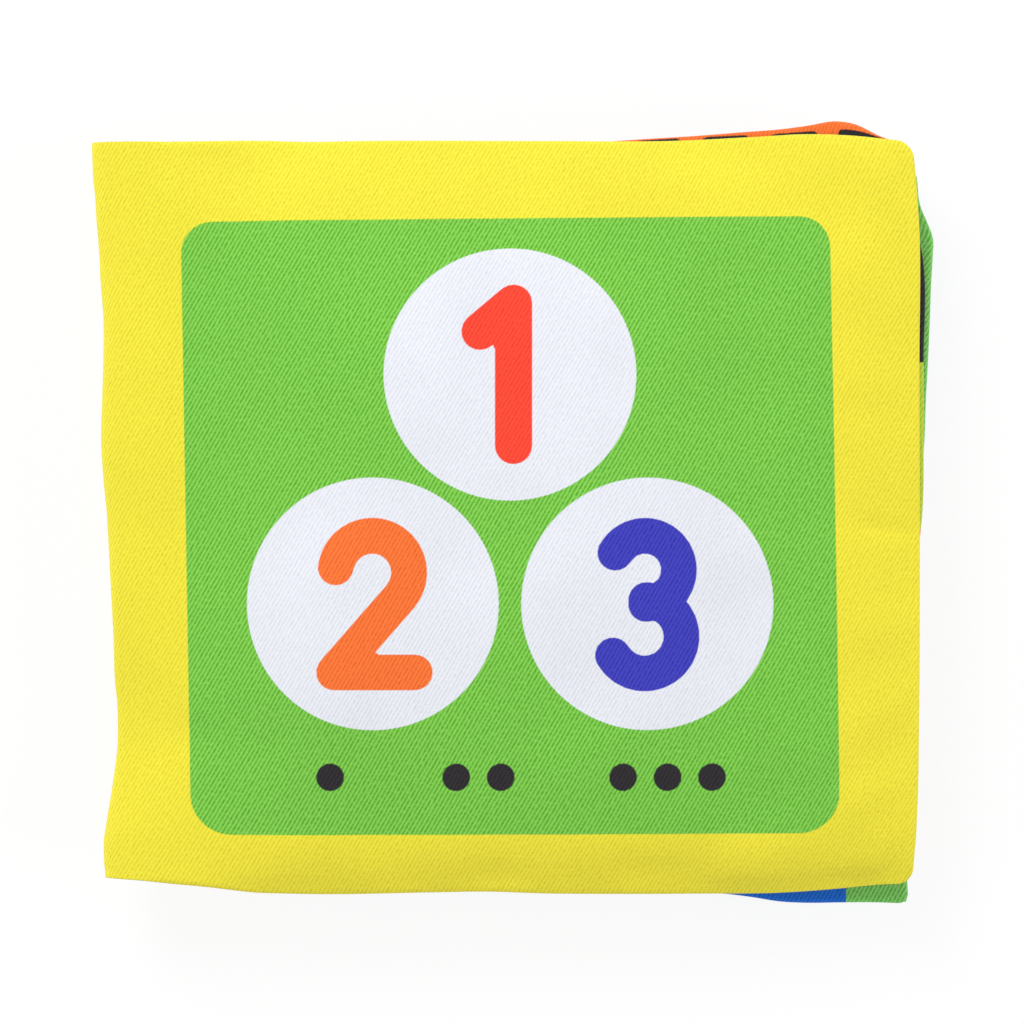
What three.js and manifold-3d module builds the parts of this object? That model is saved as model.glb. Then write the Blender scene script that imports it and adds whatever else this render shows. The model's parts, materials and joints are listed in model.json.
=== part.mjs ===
// A crinkle cloth book for a baby: a cover spread and a page spread, sewn together along the fold.
// Millimetres. The spine runs along Y, the fore-edge points to +X, the head to +Y, the front cover up.
// Each leaf is a bag of two printed cloths with their seam allowances turned in, filled with a sheet
// of wadding and a sheet of crinkle film. All leaves turn on one line, the fold of the spine.
import * as THREE from 'three';
import { mergeVertices } from 'three/addons/utils/BufferGeometryUtils.js';
import Module from 'manifold-3d';

const wasm = await Module();
wasm.setup();

const { clamp, lerp, smoothstep, degToRad } = THREE.MathUtils;

// Sizes of the leaves, seen from above
const leafReach = 106.5;         // fold line to the front cover's fore-edge
const pageExtraReach = 0.1;      // the other leaves are cut this much longer
const backExtraReach = 0.4;
const leafHeight = 102;          // tail to head
const cornerRadius = 4;
const sideDrawIn = 1;            // how far a filled leaf pulls its sides in between the corners
const foreDrawIn = 0.8;
const firstLeafRise = 1.9;       // crooked sewing lifts this leaf's fore-edge towards the head
const firstLeafLean = 0.6;       // and lets its head corner reach further than its tail corner
const secondLeafRise = -1.4;
const secondLeafLean = 3.6;

// Sizes of the leaves, seen from the side
const leafCount = 4;
const fullPitch = 4.9;           // leaf to leaf where they are fullest
const edgePitch = 3.2;           // leaf to leaf at their outer edges
const spinePitch = 2.1;          // leaf to leaf where the sewing presses them
const leafGap = 0.35;
const rampEnd = 26;              // the leaves are at their full pitch this far from the fold
const crownLine = 52;            // fullest line of the leaves, from the fold
const pageOverhang = 2;          // the pages stand out past the covers by up to this
const edgeLift = 0.9;            // the underside curves up to this height at its edges
const flatDepth = 0.5;           // the underside is pressed flat this deep where it rests
const pinchWidth = 9;            // the seam draws a leaf thin over this width
const pinchShare = 0.33;
const crownPower = 2.4;

// Cloth, seams and filling
const clothThickness = 0.28;
const allowanceWidth = 5;        // seam allowance turned inside the leaf
const foldGap = 0.06;            // between a cloth and its own turned-in allowance
const seamSpace = 0.5;           // between the allowances of the two cloths
const seamInset = 0.85;          // stitching line to the outer edge
const seamThreadRadius = 0.14;
const rollInset = 0.3;           // the cloth rolls over its edge in this width
const rimShoulder = 1;
const fillingInset = 6;          // filling to the outer edge
const filmThickness = 0.12;
const wrinkleLength = 17;        // crumple to crumple in the film
const waddingLowShare = 0.06;    // shares of the room between a leaf's two cloths
const waddingHighShare = 0.6;
const filmShare = 0.8;
const wrinkleShare = 0.1;

// Spine
const hingeClearance = 0.7;      // round the folded cloths of the spine, for the leaves to turn in
const spineThreadRadius = 0.12;
const stitchLength = 6;
const stitchMargin = 6;          // first and last stitch hole to the ends of the spine
const threadClearance = 0.1;
const grooveDepth = 0.75;        // the sewing pulls the outer cloth in along its line
const grooveSpread = degToRad(20);
const liningGroove = 0.2;
const tailLift = 2.1;            // the sewing draws the tail end of the spine up by this
const liftEnd = 18;              // and the leaves with it, this far from the fold
const foldSteps = 16;            // round the outermost cloth, and fewer round the others
const leastFoldSteps = 6;
const overrun = 1;               // past both faces for every cut

// Where the mesh lines of a leaf lie
const sideShares = [0, 0.04, 0.1, 0.17, 0.3, 0.55, 0.8, 1];
const rowShares = [1, 0.75, 0.5, 0.27];
const rollShares = [0.25, 0.5];
const cornerShares = [1 / 3, 2 / 3];
const foreSteps = 5;
const fillingSkip = 2;           // the filling starts this many mesh lines from the spine
const seamThreadSides = 4;
const spineThreadSides = 6;
const runShares = [0.25, 0.5, 0.75];

// How much of its roundness the sewing leaves the spine, at equal steps from tail to head
const spineShares = [1, 1, 0.78, 0.6, 0.61, 0.7, 0.78, 0.86, 0.94, 1, 1, 1, 1, 1, 1, 1, 1];

// Worked out from the sizes above
const halfHeight = leafHeight / 2;
const bookThickness = leafCount * fullPitch - leafGap - flatDepth;
const axisHeight = bookThickness / 2;
const spineRadius = (leafCount / 2) * spinePitch - leafGap / 2;
const clearRadius = spineRadius + hingeClearance;
const farthestReach = leafReach + Math.max(backExtraReach, pageExtraReach + secondLeafLean / 2);
const rimHalf = 2 * clothThickness + foldGap + seamSpace / 2;

const yellow = 0xf6e63c;
const cloths = {
  yellow: new THREE.MeshStandardMaterial({ color: yellow, roughness: 0.85, metalness: 0 }),
  blue: new THREE.MeshStandardMaterial({ color: 0x1a5fc0, roughness: 0.85, metalness: 0 }),
  orange: new THREE.MeshStandardMaterial({ color: 0xe9723f, roughness: 0.85, metalness: 0 }),
  red: new THREE.MeshStandardMaterial({ color: 0xd8402c, roughness: 0.85, metalness: 0 }),
  green: new THREE.MeshStandardMaterial({ color: 0x6fbf50, roughness: 0.85, metalness: 0 }),
  white: new THREE.MeshStandardMaterial({ color: 0xebecf4, roughness: 0.85, metalness: 0 }),
};
const waddingMaterial = new THREE.MeshStandardMaterial({ color: 0xf4f3ee, roughness: 1, metalness: 0 });
const filmMaterial = new THREE.MeshStandardMaterial({ color: 0xdfe4e8, roughness: 0.3, metalness: 0 });
const threadMaterial = new THREE.MeshStandardMaterial({ color: 0xf2ead0, roughness: 0.7, metalness: 0 });

// From the back cover up. Lengths along X start at the fold line, heights at the fold line too.
const leaves = [
  { name: 'back_cover', extraReach: backExtraReach, rise: 0, lean: 0, upper: 'inner', lower: 'outer',
    upperCloth: cloths.white, lowerCloth: cloths.yellow },
  { name: 'second_leaf', extraReach: pageExtraReach, rise: secondLeafRise, lean: secondLeafLean,
    upper: 'front', lower: 'back', upperCloth: cloths.green, lowerCloth: cloths.blue },
  { name: 'first_leaf', extraReach: pageExtraReach, rise: firstLeafRise, lean: firstLeafLean,
    upper: 'front', lower: 'back', upperCloth: cloths.orange, lowerCloth: cloths.red },
  { name: 'front_cover', extraReach: 0, rise: 0, lean: 0, upper: 'outer', lower: 'inner',
    upperCloth: cloths.yellow, lowerCloth: cloths.white },
];

// The stack of leaves

// 0 at the pressed spine, 1 where the leaves have their full pitch
function freedom(x) {
  return smoothstep(x, clearRadius, rampEnd);
}

// 1 in the middle of the book, 0 along its outer edges
function fullness(x, y) {
  const forward = Math.max(0, (x - crownLine) / (farthestReach - crownLine));
  const aside = Math.abs(y) / (halfHeight + pageOverhang);
  return (1 - Math.min(1, forward) ** crownPower) * (1 - Math.min(1, aside) ** crownPower);
}

function freePitch(x, y) {
  return lerp(edgePitch, fullPitch, fullness(x, y));
}

function pitchAt(x, y) {
  return lerp(spinePitch, freePitch(x, y), freedom(x));
}

// The height of a leaf's middle surface above the fold line
function middleAt(level, x, y) {
  const atSpine = (level - (leafCount - 1) / 2) * spinePitch;
  const underside = lerp(edgeLift, -flatDepth, fullness(x, y)) - axisHeight;
  const free = underside + (level + 1 / 2) * freePitch(x, y) - leafGap / 2;
  return lerp(atSpine, free, freedom(x));
}

// The heights of a leaf's middle and of its two outer faces
function facesAt(level, x, y, inset) {
  const nearness = Math.max(0, 1 - inset / pinchWidth);
  const room = (pitchAt(x, y) - leafGap) / 2;
  const half = Math.max(room * (1 - pinchShare * nearness * nearness), rimHalf);
  const middle = middleAt(level, x, y);
  return { middle, top: middle + half, bottom: Math.max(middle - half, -axisHeight) };
}

// How far the sewing draws a point near the tail end of the spine up
function tailRise(x, y) {
  const nearness = 1 - smoothstep(x, -spineRadius, liftEnd);
  return tailLift * nearness * Math.min(0, y / halfHeight) ** 2;
}

// The mesh lines of a leaf start at points along its tail, fore-edge and head, and run to its foot line
function outlineOf(leaf) {
  const sideEnd = leaf.reach - cornerRadius;
  const footEnd = leaf.reach - halfHeight;
  const tail = sideShares.map((share) => ({
    x: lerp(clearRadius, sideEnd, share),
    y: sideDrawIn * Math.sin(Math.PI * share) - halfHeight,
    footX: lerp(clearRadius, footEnd, share),
  }));
  const corner = cornerShares.map((share) => {
    const turn = (Math.PI / 2) * share;
    const y = cornerRadius * (1 - Math.cos(turn)) - halfHeight;
    return { x: sideEnd + cornerRadius * Math.sin(turn), y, footX: footEnd };
  });
  const foreEnd = halfHeight - cornerRadius;
  const fore = Array.from({ length: foreSteps + 1 }, (_, step) => {
    const y = lerp(-foreEnd, foreEnd, step / foreSteps);
    return { x: leaf.reach - foreDrawIn * Math.cos((Math.PI / 2) * (y / foreEnd)), y, footX: footEnd };
  });
  const mirrored = ({ x, y, footX }) => ({ x, y: -y, footX });
  const tailCorner = [...tail, ...corner];
  return [...tailCorner, ...fore, ...tailCorner.map(mirrored).reverse()];
}

// The point of a leaf on one mesh line, at a distance in from the outline. heightOf gives its height
// from the heights of the faces there. A point beside the spine lies on the clearance round it.
function leafPoint(leaf, line, inset, heightOf) {
  const share = inset / halfHeight;
  const flatX = lerp(line.x, line.footX, share);
  const flatY = line.y * (1 - share);
  const along = (flatX - clearRadius) / (leaf.reach - clearRadius);
  const x = flatX + (leaf.lean / 2) * (flatY / halfHeight) * along;
  const y = flatY + leaf.rise * along + tailRise(x, flatY);
  const z = heightOf(facesAt(leaf.level, x, y, inset), x, y);
  const besideSpine = line.x === clearRadius;
  return new THREE.Vector3(besideSpine ? Math.sqrt(clearRadius ** 2 - z ** 2) : x, y, z);
}

// Meshes

// A closed body from corner points and triangles, with shared corners merged and its faces outwards
function closedBody(points, triangles) {
  const geometry = new THREE.BufferGeometry();
  geometry.setAttribute('position', new THREE.Float32BufferAttribute(points.flatMap((p) => p.toArray()), 3));
  geometry.setIndex(triangles.flat());
  const merged = mergeVertices(geometry);
  const corners = merged.index.array;
  const kept = [];
  for (let i = 0; i < corners.length; i += 3) {
    const [a, b, c] = corners.slice(i, i + 3);
    if (a !== b && b !== c && c !== a) kept.push([a, b, c]);
  }
  const at = (n) => new THREE.Vector3().fromBufferAttribute(merged.attributes.position, n);
  const volume = kept.reduce((sum, [a, b, c]) => sum + at(a).dot(at(b).cross(at(c))), 0);
  merged.setIndex(kept.flatMap(([a, b, c]) => (volume < 0 ? [a, c, b] : [a, b, c])));
  return merged;
}

// A sheet between two faces, each a list of rows of points that start at the foot line. The last rows
// and the two ends beside the spine are joined by walls.
function sheetBody(outer, inner) {
  const rows = outer.length;
  const columns = outer[0].length;
  const points = [...outer.flat(), ...inner.flat()];
  const out = (row, column) => row * columns + column;
  const inn = (row, column) => (rows + row) * columns + column;
  const triangles = [];
  const quad = (a, b, c, d) => triangles.push([a, b, c], [a, c, d]);
  for (let row = 0; row < rows - 1; row += 1) {
    for (let column = 0; column < columns - 1; column += 1) {
      quad(out(row, column), out(row + 1, column), out(row + 1, column + 1), out(row, column + 1));
      quad(inn(row, column), inn(row, column + 1), inn(row + 1, column + 1), inn(row + 1, column));
    }
    quad(out(row, 0), inn(row, 0), inn(row + 1, 0), out(row + 1, 0));
    const end = columns - 1;
    quad(out(row, end), out(row + 1, end), inn(row + 1, end), inn(row, end));
  }
  for (let column = 0; column < columns - 1; column += 1) {
    const rim = rows - 1;
    quad(out(rim, column), inn(rim, column), inn(rim, column + 1), out(rim, column + 1));
  }
  return closedBody(points, triangles);
}

// A round thread along a path that never runs straight up
function threadBody(path, radius, sides) {
  const up = new THREE.Vector3(0, 0, 1);
  const points = [];
  path.forEach((centre, step) => {
    const before = path[Math.max(step - 1, 0)];
    const after = path[Math.min(step + 1, path.length - 1)];
    const ahead = after.clone().sub(before).normalize();
    const aside = ahead.clone().cross(up).normalize();
    const above = aside.clone().cross(ahead);
    for (let side = 0; side < sides; side += 1) {
      const turn = (2 * Math.PI * (side + 1 / 2)) / sides;
      points.push(centre.clone()
        .addScaledVector(aside, radius * Math.cos(turn))
        .addScaledVector(above, radius * Math.sin(turn)));
    }
  });
  const triangles = [];
  for (let step = 0; step < path.length - 1; step += 1) {
    for (let side = 0; side < sides; side += 1) {
      const next = (side + 1) % sides;
      const [a, b] = [step * sides + side, step * sides + next];
      triangles.push([a, b, b + sides], [a, b + sides, a + sides]);
    }
  }
  const last = (path.length - 1) * sides;
  for (let side = 1; side < sides - 1; side += 1) {
    triangles.push([0, side + 1, side], [last, last + side, last + side + 1]);
  }
  return closedBody(points, triangles);
}

function asSolid(geometry) {
  const bare = geometry.clone();
  bare.deleteAttribute('normal');
  bare.deleteAttribute('uv');
  const merged = mergeVertices(bare);
  const vertProperties = new Float32Array(merged.attributes.position.array);
  const triVerts = new Uint32Array(merged.index.array);
  return new wasm.Manifold(new wasm.Mesh({ numProp: 3, vertProperties, triVerts }));
}

function asGeometry(solid) {
  const mesh = solid.getMesh();
  const geometry = new THREE.BufferGeometry();
  geometry.setAttribute('position', new THREE.BufferAttribute(new Float32Array(mesh.vertProperties), 3));
  geometry.setIndex(Array.from(mesh.triVerts));
  return geometry;
}

function namedMesh(name, geometry, material) {
  geometry.computeVertexNormals();
  const mesh = new THREE.Mesh(geometry, material);
  mesh.name = name;
  return mesh;
}

// Pieces of a leaf

// A printed cloth: crowned over the filling, rolled over at the seam, its allowance turned in below.
// side is 1 for the upper cloth of a leaf and -1 for the lower one.
function clothGeometry(leaf, side) {
  const outside = (f) => (side > 0 ? f.top : f.bottom);
  const inside = (f) => outside(f) - side * clothThickness;
  const turned = (f) => f.middle + side * (seamSpace / 2);
  const turnedInside = (f) => turned(f) + side * clothThickness;
  const crown = [...rowShares.map((share) => share * halfHeight), fillingInset, rimShoulder];
  const outerRows = [
    ...crown.map((inset) => [inset, outside]),
    [rollInset, (f) => lerp(outside(f), turned(f), rollShares[0])],
    [0, (f) => lerp(outside(f), turned(f), rollShares[1])],
    [rollInset, turned],
    [allowanceWidth, turned],
  ];
  const innerRows = [
    ...crown.map((inset) => [inset, inside]),
    [(rollInset + rimShoulder) / 2, (f) => lerp(inside(f), turnedInside(f), rollShares[0])],
    [clothThickness, (f) => lerp(inside(f), turnedInside(f), rollShares[1])],
    [rollInset + clothThickness, turnedInside],
    [allowanceWidth, turnedInside],
  ];
  const lines = outlineOf(leaf);
  const rowsOf = (rows) => rows.map(([inset, heightOf]) =>
    lines.map((line) => leafPoint(leaf, line, inset, heightOf)));
  return sheetBody(rowsOf(outerRows), rowsOf(innerRows));
}

// A sheet inside a leaf, clear of the turned-in allowances, between two heights
function fillingGeometry(leaf, upperOf, lowerOf) {
  const lines = outlineOf(leaf).slice(fillingSkip, -fillingSkip);
  const insets = [...rowShares.map((share) => share * halfHeight), fillingInset];
  const rowsOf = (heightOf) => insets.map((inset) =>
    lines.map((line) => leafPoint(leaf, line, inset, heightOf)));
  return sheetBody(rowsOf(upperOf), rowsOf(lowerOf));
}

// A height between a leaf's two cloths, by its share of the room there
function between(f, share) {
  return lerp(f.bottom + clothThickness, f.top - clothThickness, share);
}

function waddingGeometry(leaf) {
  return fillingGeometry(leaf,
    (f) => between(f, waddingHighShare), (f) => between(f, waddingLowShare));
}

function filmGeometry(leaf) {
  const crumple = (x, y) => Math.sin((2 * Math.PI * (x + y / 2)) / wrinkleLength)
    * Math.cos((2 * Math.PI * (y - x / 3)) / wrinkleLength);
  const heightOf = (f, x, y) => between(f, filmShare + wrinkleShare * crumple(x, y));
  return fillingGeometry(leaf,
    (f, x, y) => heightOf(f, x, y) + filmThickness / 2,
    (f, x, y) => heightOf(f, x, y) - filmThickness / 2);
}

function seamThreadGeometry(leaf) {
  const path = outlineOf(leaf).map((line) => leafPoint(leaf, line, seamInset, (f) => f.middle));
  return threadBody(path, seamThreadRadius, seamThreadSides);
}

function leafGroup(leaf) {
  const group = new THREE.Group();
  group.add(
    namedMesh(`${leaf.name}_${leaf.upper}_cloth`, clothGeometry(leaf, 1), leaf.upperCloth.clone()),
    namedMesh(`${leaf.name}_${leaf.lower}_cloth`, clothGeometry(leaf, -1), leaf.lowerCloth.clone()),
    namedMesh(`${leaf.name}_wadding`, waddingGeometry(leaf), waddingMaterial.clone()),
    namedMesh(`${leaf.name}_crinkle_film`, filmGeometry(leaf), filmMaterial.clone()),
    namedMesh(`${leaf.name}_seam_thread`, seamThreadGeometry(leaf), threadMaterial.clone()),
  );
  return group;
}

// Pieces of the spine

// The section of a cloth folded round the fold line: half a ring with two straight legs
function foldShape(outerRadius, legs, groove) {
  const steps = Math.max(leastFoldSteps, 2 * Math.round((foldSteps / 2) * Math.sqrt(outerRadius / spineRadius)));
  const arc = (radius) => Array.from({ length: steps + 1 }, (_, step) => {
    const turn = Math.PI * (1 / 2 + step / steps);
    const pull = groove * Math.exp(-(((turn - Math.PI) / grooveSpread) ** 2));
    return new THREE.Vector2((radius - pull) * Math.cos(turn), (radius - pull) * Math.sin(turn));
  });
  const innerRadius = outerRadius - clothThickness;
  const points = [...arc(outerRadius), ...arc(innerRadius).reverse()];
  if (legs > 0) {
    const end = (y) => new THREE.Vector2(legs, y);
    points.splice(steps + 1, 0, end(-outerRadius), end(-innerRadius));
    points.push(end(innerRadius), end(outerRadius));
  }
  return new THREE.Shape(points);
}

// The share of its roundness that the spine keeps at a height of the page
function spineShareAt(y) {
  const steps = spineShares.length - 1;
  const place = steps * (y / leafHeight + 1 / 2);
  const step = clamp(Math.floor(place), 0, steps - 1);
  return lerp(spineShares[step], spineShares[step + 1], place - step);
}

// A folded cloth of the spine with a needle hole at every stitch
function foldedCloth(outerRadius, legs, groove) {
  const geometry = new THREE.ExtrudeGeometry(foldShape(outerRadius, legs, groove), {
    depth: leafHeight,
    steps: spineShares.length - 1,
    bevelEnabled: false,
  });
  geometry.rotateX(Math.PI / 2);
  geometry.translate(0, halfHeight, 0);
  const at = geometry.attributes.position;
  for (let n = 0; n < at.count; n += 1) {
    const [x, y, z] = [at.getX(n), at.getY(n), at.getZ(n)];
    const share = spineShareAt(y);
    at.setXYZ(n, x * share, y + tailRise(x, y), z * share);
  }
  const holeWidth = 2 * (spineThreadRadius + threadClearance);
  const reach = spineRadius + overrun;
  return asGeometry(stitchHoles().reduce((solid, y) => {
    const needle = new THREE.BoxGeometry(reach, holeWidth, holeWidth);
    needle.translate(-reach / 2, y, 0);
    return solid.subtract(asSolid(needle));
  }, asSolid(geometry)));
}

// Where the thread passes through the spine, from tail to head
function stitchHoles() {
  const span = leafHeight - 2 * stitchMargin;
  const count = Math.round(span / stitchLength);
  return Array.from({ length: count + 1 }, (_, n) => lerp(-span / 2, span / 2, n / count));
}

// One unbroken thread that runs outside and inside the fold by turns
function spineThreadGeometry() {
  const seat = threadClearance + spineThreadRadius;
  const outsideAt = (y) => -((spineRadius - grooveDepth) * spineShareAt(y) + seat);
  const inside = seat;
  const turn = 2 * spineThreadRadius;
  const path = [];
  const holes = stitchHoles();
  holes.forEach((y, n) => {
    const goesOut = n % 2 > 0;
    const [from, to] = goesOut ? [inside, outsideAt(y)] : [outsideAt(y), inside];
    const lead = Math.sign(to - from) * turn;
    path.push([from, y - turn], [from + lead, y], [to - lead, y], [to, y + turn]);
    if (!goesOut || n === holes.length - 1) return;
    runShares.forEach((share) => {
      const along = lerp(y, holes[n + 1], share);
      path.push([outsideAt(along), along]);
    });
  });
  return threadBody(path.map(([x, y]) => new THREE.Vector3(x, y, 0)), spineThreadRadius, spineThreadSides);
}

function spineGroup() {
  const liningRadius = spinePitch + leafGap / 2 + clothThickness;
  const pageRadius = spinePitch - leafGap / 2;
  const pageLiningRadius = leafGap / 2 + clothThickness;
  const legsWithin = (radius) => Math.sqrt(spineRadius ** 2 - radius ** 2);
  const group = new THREE.Group();
  group.add(
    namedMesh('cover_spine_outer_cloth', foldedCloth(spineRadius, 0, grooveDepth), cloths.yellow.clone()),
    namedMesh('cover_spine_inner_cloth',
      foldedCloth(liningRadius, legsWithin(liningRadius), liningGroove), cloths.white.clone()),
    namedMesh('page_spine_outer_cloth', foldedCloth(pageRadius, legsWithin(pageRadius), 0), cloths.orange.clone()),
    namedMesh('page_spine_inner_cloth', foldedCloth(pageLiningRadius, 0, 0), cloths.green.clone()),
    namedMesh('spine_thread', spineThreadGeometry(), threadMaterial.clone()),
  );
  return group;
}

const book = new THREE.Group();
leaves.forEach((leaf, level) => {
  book.add(leafGroup({ ...leaf, level, reach: leafReach + leaf.extraReach }));
});
book.add(spineGroup());
const extent = new THREE.Box3().setFromObject(book);
book.position.set(-(extent.min.x + extent.max.x) / 2, -(extent.min.y + extent.max.y) / 2, axisHeight);

export default book;
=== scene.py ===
import json
import math
import bpy
import numpy as np
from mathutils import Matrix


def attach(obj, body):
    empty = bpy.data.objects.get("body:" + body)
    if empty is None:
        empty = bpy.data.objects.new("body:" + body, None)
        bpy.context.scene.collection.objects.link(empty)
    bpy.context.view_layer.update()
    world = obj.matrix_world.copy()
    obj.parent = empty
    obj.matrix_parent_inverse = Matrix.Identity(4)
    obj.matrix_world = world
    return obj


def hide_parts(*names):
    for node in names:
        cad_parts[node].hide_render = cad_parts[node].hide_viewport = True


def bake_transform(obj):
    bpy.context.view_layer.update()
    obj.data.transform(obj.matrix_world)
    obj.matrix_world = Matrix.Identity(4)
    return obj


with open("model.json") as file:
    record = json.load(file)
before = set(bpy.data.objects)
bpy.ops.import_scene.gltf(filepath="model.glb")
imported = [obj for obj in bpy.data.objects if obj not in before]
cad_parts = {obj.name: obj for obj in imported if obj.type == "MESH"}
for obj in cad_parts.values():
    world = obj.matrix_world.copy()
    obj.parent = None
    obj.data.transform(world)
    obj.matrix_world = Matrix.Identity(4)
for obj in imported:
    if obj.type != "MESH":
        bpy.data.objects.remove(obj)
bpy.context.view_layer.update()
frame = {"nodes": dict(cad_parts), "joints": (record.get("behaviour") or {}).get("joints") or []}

fold = np.array(frame["joints"][0]["pos_m"]) * 1000   # the line that every leaf turns on, in mm
scene = bpy.context.scene
print("frame loaded")

# Lengths are in mm from the fold line, as in the solids: x to the fore-edge, y to the head, z up.
# On a leaf, u and v are its x and y before it was sewn and filled. The four leaves are levels 0 to 3.
book = {
    "halfHeight": 51, "reach": 106.5, "farthestReach": 108.4, "middleLevel": 1.5,
    "fullPitch": 4.9, "edgePitch": 3.2, "spinePitch": 2.1, "leafGap": 0.35,
    "clearRadius": 4.725, "rampEnd": 26, "crownLine": 52, "pageOverhang": 2, "crownPower": 2.4,
    "edgeLift": 0.9, "flatDepth": 0.5, "axisHeight": 9.375, "pinchWidth": 9, "pinchShare": 0.33,
    "rimHalf": 0.87, "spineRadius": 4.025, "tailLift": 2.1, "liftEnd": 18,
    "spineShares": [1, 1, 0.78, 0.6, 0.61, 0.7, 0.78, 0.86, 0.94, 1, 1, 1, 1, 1, 1, 1, 1],
}


def mix(a, b, t):
    return a + (b - a) * t


def smooth(x, low, high):
    t = np.clip((x - low) / (high - low), 0, 1)
    return t * t * (3 - 2 * t)


def curveThrough(points, x):        # a smooth curve through a table of (place, value)
    at, value = np.array(points, float).T
    slope = np.gradient(value, at)
    x = np.clip(x, at[0], at[-1])
    k = np.clip(np.searchsorted(at, x) - 1, 0, len(at) - 2)
    step = at[k + 1] - at[k]
    t = (x - at[k]) / step
    return ((2 * t**3 - 3 * t**2 + 1) * value[k] + (t**3 - 2 * t**2 + t) * step * slope[k]
            + (3 * t**2 - 2 * t**3) * value[k + 1] + (t**3 - t**2) * step * slope[k + 1])


def ripples(x, y, seed, shortest, longest, count=5):
    rng = np.random.default_rng(seed)
    total = 0
    for _ in range(count):
        length = rng.uniform(shortest, longest)
        turn = rng.uniform(0, math.tau)
        phase = rng.uniform(0, math.tau)
        total = total + np.sin((x * math.cos(turn) + y * math.sin(turn)) * math.tau / length + phase)
    return total / math.sqrt(count)


def spineShare(y):                  # how much of its roundness the sewing leaves the spine
    stations = np.linspace(-book["halfHeight"], book["halfHeight"], len(book["spineShares"]))
    return curveThrough(list(zip(stations, book["spineShares"])), y)


def tailRise(x, y):
    nearness = 1 - smooth(x, -book["spineRadius"], book["liftEnd"])
    return book["tailLift"] * nearness * np.minimum(0, y / book["halfHeight"]) ** 2


def leafFaces(level, x, y, near):   # heights of a leaf's upper and lower face
    freedom = smooth(x, book["clearRadius"], book["rampEnd"])
    forward = np.clip((x - book["crownLine"]) / (book["farthestReach"] - book["crownLine"]), 0, 1)
    aside = np.clip(np.abs(y) / (book["halfHeight"] + book["pageOverhang"]), 0, 1)
    fullness = (1 - forward ** book["crownPower"]) * (1 - aside ** book["crownPower"])
    freePitch = mix(book["edgePitch"], book["fullPitch"], fullness)
    pitch = mix(book["spinePitch"], freePitch, freedom)
    underside = mix(book["edgeLift"], -book["flatDepth"], fullness) - book["axisHeight"]
    free = underside + (level + 0.5) * freePitch - book["leafGap"] / 2
    middle = mix((level - book["middleLevel"]) * book["spinePitch"], free, freedom)
    half = np.maximum((pitch - book["leafGap"]) / 2 * (1 - book["pinchShare"] * near), book["rimHalf"])
    return middle + half, np.maximum(middle - half, -book["axisHeight"])


# Meshes and nodes

def newObject(name, mesh):
    piece = bpy.data.objects.new(name, mesh)
    scene.collection.objects.link(piece)
    return piece


def meshFrom(name, points, faces, materials, materialOf, attributes):
    mesh = bpy.data.meshes.new(name)
    mesh.from_pydata(((points + fold) / 1000).tolist(), [], faces)
    for material in materials:
        mesh.materials.append(material)
    mesh.polygons.foreach_set("material_index", materialOf)
    mesh.shade_smooth()
    for title, values in attributes.items():
        wide = values.ndim > 1
        attribute = mesh.attributes.new(title, "FLOAT_VECTOR" if wide else "FLOAT", "POINT")
        attribute.data.foreach_set("vector" if wide else "value", values.astype(np.float32).ravel())
    mesh.validate()
    return newObject(name, mesh)


def gridFaces(ids):                 # quads of a grid, facing the way its rows turn into its columns
    a, b = ids[:-1, :-1], ids[1:, :-1]
    c, d = ids[1:, 1:], ids[:-1, 1:]
    return np.stack([a, b, c, d], axis=-1).reshape(-1, 4).tolist()


def gridLines(start, end, grid, fineStart=True):    # mesh lines, closer together near the ends
    fine = np.arange(0, grid["fineWidth"], grid["fineStep"])
    head = start + fine if fineStart else np.array([start])
    tail = (end - fine)[::-1]
    count = max(2, round((tail[0] - head[-1]) / grid["step"]))
    return np.concatenate([head[:-1], np.linspace(head[-1], tail[0], count + 1), tail[1:]])


def addNode(tree, kind, inputs=None, read=0, **settings):      # gives the output that is read from it
    made = tree.nodes.new(kind)
    for title, value in settings.items():
        setattr(made, title, value)
    for socket, value in (inputs or {}).items():
        if isinstance(value, bpy.types.NodeSocket):
            tree.links.new(value, made.inputs[socket])
        else:
            made.inputs[socket].default_value = value
    return made.outputs[read] if made.outputs else made


# Leaves

roll = {                            # how the two cloths of a leaf roll over into the seam
    "width": 0.8, "turns": [68, 46, 24, 2, -20, -40, -58], "centreShare": 0.52, "seamShare": 0.5,
    "arcRadius": 0.65, "toSeam": 0.35,
}
leafGrid = {"step": 0.75, "fineStep": 0.4, "fineWidth": 2.4}
innerEnd = {                        # of a page, at the fold
    "closingShares": [0.08, 0.35, 0.65, 0.92], "clearance": 0.01, "overlap": 0.1,
}
relief = {                          # the padding's hills: how long they are, and where they fade
    "broad": (17, 42), "quilted": (9, 15), "quiltedShare": 0.3, "rimWidth": 7, "spineFade": (5, 16),
}
forePullWidth = 40                  # how far in from the fore-edge a leaf's uneven outline is felt

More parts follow.
